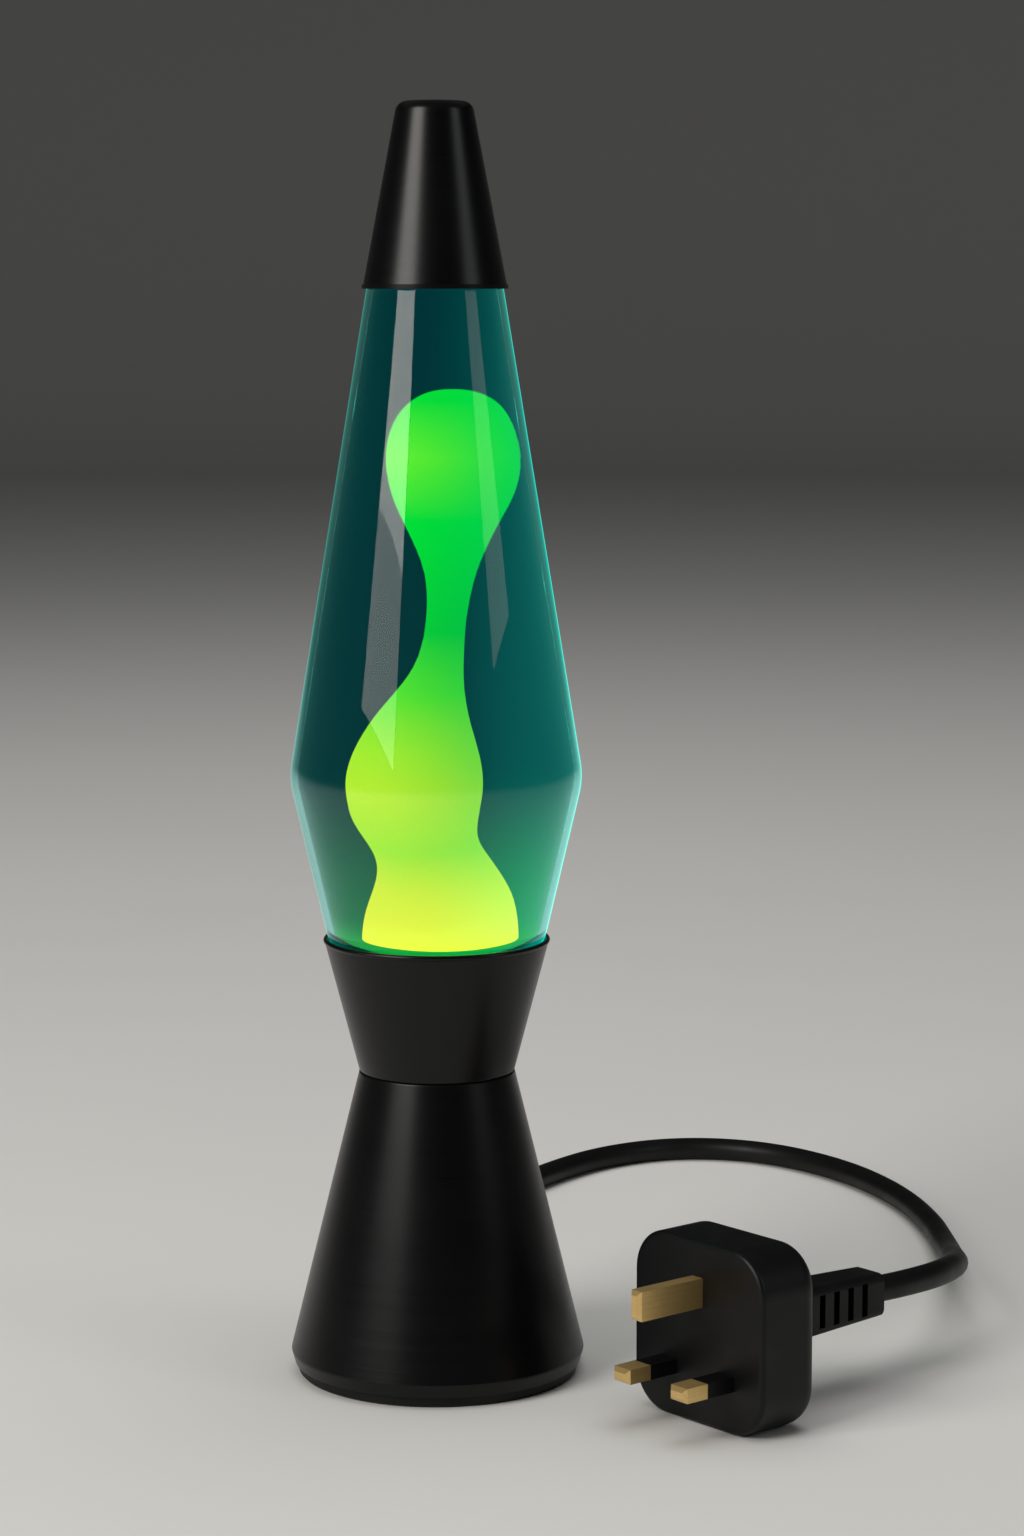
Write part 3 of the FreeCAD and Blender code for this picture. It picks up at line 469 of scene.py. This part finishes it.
def clear_glass(name, density, colour, rough, painted_edge_light=None):
    """Clear glass that tints what passes through a lot of it, with a painted glow
    along its sides when a colour for it is given.
    """
    finish = Finish(
        name,
        Base_Color=(1, 1, 1, 1),
        Roughness=rough,
        IOR=GLASS_IOR,
        Transmission_Weight=1.0,
    )
    depth = finish.add("VolumeAbsorption", None, {"Color": colour, "Density": density})
    finish.tree.links.new(depth.socket, finish.output.inputs["Volume"])
    if painted_edge_light is not None:
        # painted highlight: a turquoise glow along the outline, stronger the more
        # side-on the wall is seen, painted brighter to the right
        x, _, _ = finish.axes(finish.place())
        side_on = finish.add("LayerWeight", None, {"Blend": 0.5}).out(1)
        line = side_on ** CLOSE_TO_EDGE * 1.6 + side_on ** NEAR_EDGE * 0.34
        painted_bright_side = finish.ease(x, -30 * MM, 34 * MM, 0.3, 1.0)
        finish.set(
            "Emission Color", finish.mix(line * painted_bright_side, (0, 0, 0, 1), painted_edge_light)
        )
        finish.set("Emission Strength", 1.3)
    return finish.material


# the bottle's glass, with its painted turquoise glow along the sides
finishes["clear_glass"] = clear_glass(
    "glass_with_painted_edge_glow", 150.0, (0.0, 0.95, 0.94, 1), 0.0, tint(20, 238, 214)
)
finishes["bulb_glass"] = clear_glass(
    "lamp_bulb_glass", 5.0, (0.8, 0.9, 0.9, 1), 0.02
)
print("made", finishes["clear_glass"].name, "and", finishes["bulb_glass"].name)

# %% [markdown]
# ## Wax
#
# Warm wax rises, and it is lit from under by the bulb. That light is painted
# into the wax as a glow of its own: a burning yellow at the bottom, then lime.
# The thin neck is a cool green, the thick drop over it is a little warmer, and
# the left is painted lighter and yellower than the right, as painted shade. Two
# ramps by height, one for each side, blended from left to right, paint that.
# The liquid in front dims it, so the painted glow is set stronger than it looks.


# %% Glowing wax
WAX_LOW = 118.0
WAX_HIGH = 273.0
WAX_PAINTED_GLOW_STRENGTH = 17.0
# height in millimetres, the colour on the left, the colour on the right;
# the colours are painted light: lit from under, and shaded towards the right
WAX_PAINTED_GLOW = [
    (120, tint(255, 215, 10), tint(250, 212, 5)),
    (137, tint(215, 205, 0), tint(195, 200, 0)),
    (148, tint(165, 205, 0), tint(130, 190, 0)),
    (162, tint(195, 215, 0), tint(125, 187, 0)),
    (175, tint(170, 215, 0), tint(80, 182, 0)),
    (190, tint(95, 208, 0), tint(20, 175, 5)),
    (207, tint(10, 190, 20), tint(0, 160, 20)),
    (238, tint(0, 205, 20), tint(0, 180, 20)),
    (255, tint(110, 222, 0), tint(10, 190, 0)),
    (270, tint(10, 203, 15), tint(0, 190, 15)),
]


def stops_by_height(side):
    """The stops of one side's ramp: side 1 is the left and side 2 the right."""
    span = WAX_HIGH - WAX_LOW
    return [((row[0] - WAX_LOW) / span, row[side]) for row in WAX_PAINTED_GLOW]


def wax_with_painted_glow():
    """Wax with painted light: a glow from within and from under, shaded to the right.
    """
    finish = Finish("wax_with_painted_glow", Roughness=0.45, Specular_IOR_Level=0.0)
    place = finish.place()
    x, _, z = finish.axes(place)
    height = finish.add(
        "MapRange",
        None,
        {"Value": z, "From Min": WAX_LOW * MM, "From Max": WAX_HIGH * MM},
    )
    # painted light: the bulb's light from under, as a colour by height on the lit left
    # and the shaded right
    left = finish.add("ValToRGB", {"stops": stops_by_height(1)}, {0: height})
    right = finish.add("ValToRGB", {"stops": stops_by_height(2)}, {0: height})
    # painted shade: the glow turns darker and greener towards the right
    painted_shade_across = finish.ease(x, -22 * MM, 24 * MM)
    painted_glow = finish.mix(painted_shade_across, left, right)
    finish.set("Base Color", painted_glow)
    # the painted glow is given out as emission, so the wax glows though it is no lamp
    finish.set("Emission Color", painted_glow)
    finish.set("Emission Strength", WAX_PAINTED_GLOW_STRENGTH)
    return finish.material


finishes["wax"] = wax_with_painted_glow()
print("made", finishes["wax"].name)

# %% [markdown]
# ## Coloured liquid
#
# The liquid is a dark teal dye. It takes most of the light that crosses it.
# The light it scatters back is painted in as a dim glow of its own, painted
# brighter to the right and at the bottom where the lamp shines in. A filled
# volume would be slow and noisy, so the liquid is a closed body whose skin lets
# a thirteenth of the light through. Only the strong painted glow of the wax
# shows through that.


# %% Teal liquid
def teal_liquid():
    """Dyed liquid as a skin that lets some light through, with a painted glow."""
    finish = Finish(
        "dark_teal_dye_with_painted_glow",
        Base_Color=(0.0, 0.004, 0.005, 1),
        Roughness=0.4,
        Specular_IOR_Level=0.0,
        Alpha=0.925,
    )
    x, _, z = finish.axes(finish.place())
    # painted light: the glow is brighter to the right, where the lamp shines in
    painted_light_rightward = finish.ease(x, -4 * MM, 30 * MM)
    # a small change of the painted glow close to the right side
    painted_edge_light = finish.ease(x, 24 * MM, 39 * MM)
    painted_upper_glow = finish.mix(painted_light_rightward, tint(0, 51, 54), tint(0, 88, 84))
    painted_upper_glow = finish.mix(painted_edge_light, painted_upper_glow, tint(0, 84, 80))
    painted_lower_glow = finish.mix(painted_light_rightward, tint(0, 106, 62), tint(0, 162, 98))
    # painted light: a bright green glow at the very bottom, over the lit foot of the
    # wax
    painted_floor_glow = tint(6, 190, 66)
    painted_glow_rise = finish.ease(z, 125 * MM, 175 * MM)
    painted_rim_glow = finish.ease(z, 118 * MM, 132 * MM)
    painted_glow = finish.mix(painted_glow_rise, painted_lower_glow, painted_upper_glow)
    # the painted glow is given out as emission, though the liquid is no lamp
    finish.set("Emission Color", finish.mix(painted_rim_glow, painted_floor_glow, painted_glow))
    finish.set("Emission Strength", 1.0)
    return finish.material


finishes["teal_liquid"] = teal_liquid()
print("made", finishes["teal_liquid"].name)

# %% [markdown]
# ## Dress the frame
#
# Every part of the frame names the finish it is made in. Its shape is right,
# so it only gets the material.

# %% Give each part its finish
for part in frame["record"]["subparts"]:
    mesh = nodes[part["node"]].data
    mesh.materials.clear()
    mesh.materials.append(finishes[part["material_slot"]])
mains_lead.data.materials.append(finishes["black_rubber"])

# %% [markdown]
# ## Shapes turned about the lamp's axis
#
# The bottle and the liquid in it are bodies of revolution. By hand they are
# made as on a lathe: half of the outline is drawn as a chain of edges and
# spun once round the axis. The outline is given by its corners and the radius
# that rounds each one, which is how a mould maker would write it.


# %% Turning tools
TURNS = 160
SMOOTH_UNDER = math.radians(50)
SAME_POINT = 0.002 * MM


def rounded_outline(corners, pieces=10):
    """Points along an outline whose corners are (radius, height, rounding)."""
    points = []
    for index, (r, z, rounding) in enumerate(corners):
        if not rounding:
            points.append((r, z))
            continue
        before = corners[index - 1]
        after = corners[index + 1]
        to_before = unit(before[0] - r, before[1] - z)
        to_after = unit(after[0] - r, after[1] - z)
        cosine = to_before[0] * to_after[0] + to_before[1] * to_after[1]
        half = math.acos(max(-1, min(1, cosine))) / 2
        reach = rounding / math.tan(half)
        middle = unit(to_before[0] + to_after[0], to_before[1] + to_after[1])
        away = rounding / math.sin(half)
        centre = (r + middle[0] * away, z + middle[1] * away)
        start = (r + to_before[0] * reach, z + to_before[1] * reach)
        end = (r + to_after[0] * reach, z + to_after[1] * reach)
        first = math.atan2(start[1] - centre[1], start[0] - centre[0])
        last = math.atan2(end[1] - centre[1], end[0] - centre[0])
        sweep = (last - first + math.pi) % (2 * math.pi) - math.pi
        for step in range(pieces + 1):
            angle = first + sweep * step / pieces
            points.append(
                (
                    centre[0] + rounding * math.cos(angle),
                    centre[1] + rounding * math.sin(angle),
                )
            )
    return points


def unit(r, z):
    """A direction of length one."""
    size = math.hypot(r, z)
    return r / size, z / size


def turned(name, outline):
    """Spins an outline of (radius, height) in millimetres about the axis."""
    bpy.ops.object.select_all(action="DESELECT")
    start = (outline[0][0] * MM, 0, outline[0][1] * MM)
    bpy.ops.mesh.primitive_plane_add(size=MM)
    bpy.ops.object.mode_set(mode="EDIT")
    bpy.ops.mesh.select_mode(type="VERT")
    bpy.ops.mesh.merge(type="CENTER")
    bpy.ops.transform.translate(value=start)
    for before, after in zip(outline, outline[1:]):
        step = ((after[0] - before[0]) * MM, 0, (after[1] - before[1]) * MM)
        bpy.ops.mesh.extrude_vertices_move(TRANSFORM_OT_translate={"value": step})
    bpy.ops.mesh.select_all(action="SELECT")
    bpy.ops.mesh.spin(
        steps=TURNS, angle=2 * math.pi, center=(0, 0, 0), axis=(0, 0, 1)
    )
    bpy.ops.mesh.select_all(action="SELECT")
    bpy.ops.mesh.remove_doubles(threshold=SAME_POINT)
    bpy.ops.mesh.normals_make_consistent(inside=False)
    bpy.ops.object.mode_set(mode="OBJECT")
    piece = bpy.context.object
    piece.name = piece.data.name = name
    bpy.ops.object.shade_smooth_by_angle(angle=SMOOTH_UNDER)
    return piece


# %% [markdown]
# ## The bottle
#
# The bottle's wall is drawn once, outside and inside together, as one closed
# outline. Its foot is rounded into a heel with a shallow dome pushed up under
# it, the belly swells just above the cup, and a long straight taper runs up
# to the shoulder and the bead that the crown cap grips.

# %% Glass bottle
WALL = 1.83
BELLY = 166.85
BOTTLE_OUTLINE = [
    (0, 118.3, 0),
    (15, 118.1, 8),
    (21, 117.05, 1.5),
    (28.79, 117.05, 9),
    (40.35, BELLY, 22),
    (18.06, 303, 2),
    (12.8, 304.6, 1.2),
    (12.8, 307, 0.4),
    (13.3, 307.2, 0.15),
    (13.3, 311, 1.2),
    (9.5, 311, 1.2),
    (9.5, 303.8, 1.5),
    (16.41, 301.9, 2),
    (40.35 - WALL, BELLY, 20.2),
    (27.66, 120.05, 7.2),
    (0, 120.05, 0),
]


def make_bottle():
    """The bottle's wall, outside and inside, turned as one closed shell."""
    bottle = turned("bottle", rounded_outline(BOTTLE_OUTLINE))
    bottle.data.materials.append(finishes["clear_glass"])
    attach(bottle, "bottle")
    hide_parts("glass_bottle")
    return bottle


bottle = make_bottle()
print("bottle:", [round(v / MM, 1) for v in bottle.dimensions])

# %% [markdown]
# ## The liquid
#
# The liquid fills the bottle to just under its shoulder. It is turned like
# the bottle, a twentieth of a millimetre inside the wall, so the two skins
# never lie in the same place.

# %% Liquid
LIQUID_OUTLINE = [
    (0, 120.1, 0),
    (27.61, 120.1, 7.15),
    (38.47, BELLY, 20.15),
    (16.36, 301.85, 0.6),
    (0, 301.5, 0),
]


def make_liquid():
    """The liquid as one closed body."""
    liquid = turned("dyed_liquid", rounded_outline(LIQUID_OUTLINE))
    liquid.data.materials.append(finishes["teal_liquid"])
    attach(liquid, "bottle")
    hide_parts("coloured_liquid")
    return liquid


liquid = make_liquid()
print("liquid:", [round(v / MM, 1) for v in liquid.dimensions])

# %% [markdown]
# ## The wax
#
# Hot wax is a slow fluid: a broad foot on the coil, a bulge that is about to
# part, a thin neck, and a drop at the top that nearly fills the bottle. It
# has no corner anywhere. Rings of different sizes are stacked up, each pushed
# a little off the axis, bridged into one skin, and a subdivision surface
# melts the steps away.

# %% Wax
RING_SIDES = 32
# height, to the right, to the back, radius
WAX_SHAPE = [
    (120.3, 0.9, 0.0, 21.6),
    (122.6, 1.0, 0.0, 21.9),
    (129.0, 1.1, 0.2, 21.3),
    (134.5, 1.5, 0.4, 19.6),
    (139.5, 0.9, 0.6, 17.3),
    (144.5, -0.9, 0.7, 15.6),
    (149.5, -4.3, 0.7, 15.3),
    (155.0, -6.1, 0.6, 17.5),
    (161.0, -6.1, 0.3, 18.9),
    (167.0, -6.1, 0.0, 19.2),
    (173.0, -5.7, -0.4, 17.8),
    (179.0, -5.0, -0.8, 15.3),
    (185.0, -3.7, -1.1, 12.4),
    (191.0, -1.4, -1.3, 9.2),
    (197.0, 0.8, -1.3, 6.8),
    (203.5, 2.1, -1.1, 5.7),
    (210.5, 2.9, -0.8, 5.4),
    (217.5, 3.7, -0.3, 5.9),
    (224.0, 4.1, 0.1, 7.2),
    (230.5, 4.3, 0.4, 9.9),
    (237.0, 4.3, 0.5, 13.2),
    (243.0, 4.7, 0.4, 16.4),
    (249.0, 5.0, 0.2, 18.2),
    (255.0, 4.9, 0.0, 18.7),
    (260.5, 4.8, 0.0, 17.7),
    (265.5, 4.8, 0.0, 15.6),
    (269.5, 5.0, 0.0, 12.4),
    (272.2, 4.9, 0.0, 7.4),
    (272.9, 4.8, 0.0, 2.6),
]


def make_wax():
    """The wax as stacked rings, bridged and smoothed."""
    bpy.ops.object.select_all(action="DESELECT")
    for number, (height, right, back, radius) in enumerate(WAX_SHAPE):
        place = (right * MM, back * MM, height * MM)
        bpy.ops.mesh.primitive_circle_add(
            vertices=RING_SIDES, radius=radius * MM, location=place
        )
        if number == 0:
            bpy.ops.object.mode_set(mode="OBJECT")
            bpy.ops.object.transform_apply(location=True)
            bpy.ops.object.mode_set(mode="EDIT")
    bpy.ops.mesh.select_all(action="SELECT")
    bpy.ops.mesh.bridge_edge_loops()
    bpy.ops.mesh.select_all(action="DESELECT")
    bpy.ops.mesh.select_mode(type="EDGE")
    bpy.ops.mesh.select_non_manifold()
    bpy.ops.mesh.edge_face_add()
    bpy.ops.mesh.select_all(action="DESELECT")
    bpy.ops.object.mode_set(mode="OBJECT")
    wax = bpy.context.object
    for face in wax.data.polygons:
        face.select = len(face.vertices) > 4
    bpy.ops.object.mode_set(mode="EDIT")
    bpy.ops.mesh.select_mode(type="FACE")
    bpy.ops.mesh.poke()
    bpy.ops.mesh.select_all(action="SELECT")
    bpy.ops.mesh.normals_make_consistent(inside=False)
    bpy.ops.object.mode_set(mode="OBJECT")
    wax.name = wax.data.name = "rising_wax"
    melt = wax.modifiers.new("melt", "SUBSURF")
    melt.levels = melt.render_levels = 2
    bpy.ops.object.modifier_apply(modifier="melt")
    bpy.ops.object.shade_smooth()
    return wax


wax = make_wax()
wax.data.materials.append(finishes["wax"])
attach(wax, "bottle")
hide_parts("wax_column")
print("wax:", [round(v / MM, 1) for v in wax.dimensions], len(wax.data.polygons))

# %% [markdown]
# ## Light and table
#
# A plain pale floor that curves up far away into a wall, one tall soft light
# in front on the left with a dim skirt under it, a weaker one on the right, a
# broad one overhead, and a little light from all round. The tall light is
# what draws the long streak down the glass and the black cones, and the skirt
# makes the streak fade towards its foot. The wall is painted darker the higher
# it goes: a bright one would be mirrored in the glass and hide the liquid. It
# stands far off, so that every view of the lamp is taken from inside.


# %% Cove
COVE_RADIUS = 6500
COVE_BEND = 1400
COVE_HEIGHT = 4200


def pale_cove():
    """A pale round floor that curves up into a wall."""
    cove = turned(
        "pale_cove",
        rounded_outline(
            [(0, 0, 0), (COVE_RADIUS, 0, COVE_BEND), (COVE_RADIUS, COVE_HEIGHT, 0)]
        ),
    )
    bpy.ops.object.mode_set(mode="EDIT")
    bpy.ops.mesh.select_all(action="SELECT")
    bpy.ops.mesh.normals_make_consistent(inside=True)
    bpy.ops.object.mode_set(mode="OBJECT")
    return cove


def cove_paint():
    """Matt paint, pale on the floor and darker far away and high up."""
    finish = Finish("pale_paint", Roughness=0.75, Specular_IOR_Level=0.2)
    place = finish.place()
    x, y, z = finish.axes(place)
    cloud = finish.noise(place, 3.0, 3.0)
    pale = finish.mix(cloud, tint(209, 207, 203), tint(215, 213, 209))
    far = finish.ease((x * x + y * y) ** 0.5, 0.7, 3.0)
    high = finish.ease(z, 0.9, 3.4)
    wall = finish.mix(far, pale, tint(186, 185, 182))
    finish.set("Base Color", finish.mix(high, wall, tint(60, 60, 61)))
    return finish.material


cove = pale_cove()
cove.data.materials.append(cove_paint())
print("the cove is", round(cove.dimensions.x, 2), "m across")


# %% Lights
def soft_light(name, side, away, low, high, width, power, colour):
    """A tall soft light: side is its angle from the front, to the right."""
    lamp = bpy.data.lights.new(name, "AREA")
    lamp.shape = "RECTANGLE"
    lamp.size = width
    lamp.size_y = high - low
    lamp.energy = power
    lamp.color = colour
    light = bpy.data.objects.new(name, lamp)
    bpy.context.scene.collection.objects.link(light)
    angle = math.radians(side)
    light.location = (
        away * math.sin(angle),
        -away * math.cos(angle),
        (low + high) / 2,
    )
    light.rotation_euler = (math.radians(90), 0, angle)
    light.visible_camera = False
    light.visible_transmission = False
    return light


WARM = (1.0, 0.98, 0.95)
COOL = (0.95, 0.98, 1.0)
LEFT_SIDE, LEFT_AWAY, LEFT_WIDTH = -49, 1.25, 0.72
SKIRT_LOW, TALL_LOW, TALL_HIGH = 0.38, 0.54, 1.35
soft_light(
    "tall_left", LEFT_SIDE, LEFT_AWAY, TALL_LOW, TALL_HIGH, LEFT_WIDTH, 16.5, WARM
)
soft_light(
    "left_skirt", LEFT_SIDE, LEFT_AWAY, SKIRT_LOW, TALL_LOW, LEFT_WIDTH, 1.5, WARM
)
soft_light("tall_right", 64, 1.35, 0.45, 1.2, 0.5, 2.2, COOL)


TOP_SIZE = 2.4
TOP_PLACE = (0, 0.3, 2.4)


def top_light(power):
    """A broad overhead light that brightens the cove and makes no streak."""
    lamp = bpy.data.lights.new("overhead", "AREA")
    lamp.size = TOP_SIZE
    lamp.energy = power
    light = bpy.data.objects.new("overhead", lamp)
    bpy.context.scene.collection.objects.link(light)
    light.location = TOP_PLACE
    light.visible_camera = False
    light.visible_glossy = False
    light.visible_transmission = False
    return light


top_light(34)
SKY_COLOUR = (0.95, 0.97, 1.0, 1)
SKY_STRENGTH = 0.1
sky = bpy.data.worlds.new("soft_sky")
sky.use_nodes = True
bpy.context.scene.world = sky
background = sky.node_tree.nodes["Background"]
background.inputs["Color"].default_value = SKY_COLOUR
background.inputs["Strength"].default_value = SKY_STRENGTH
bpy.context.scene.view_settings.view_transform = "Standard"

# %% Last update
bpy.context.view_layer.update()
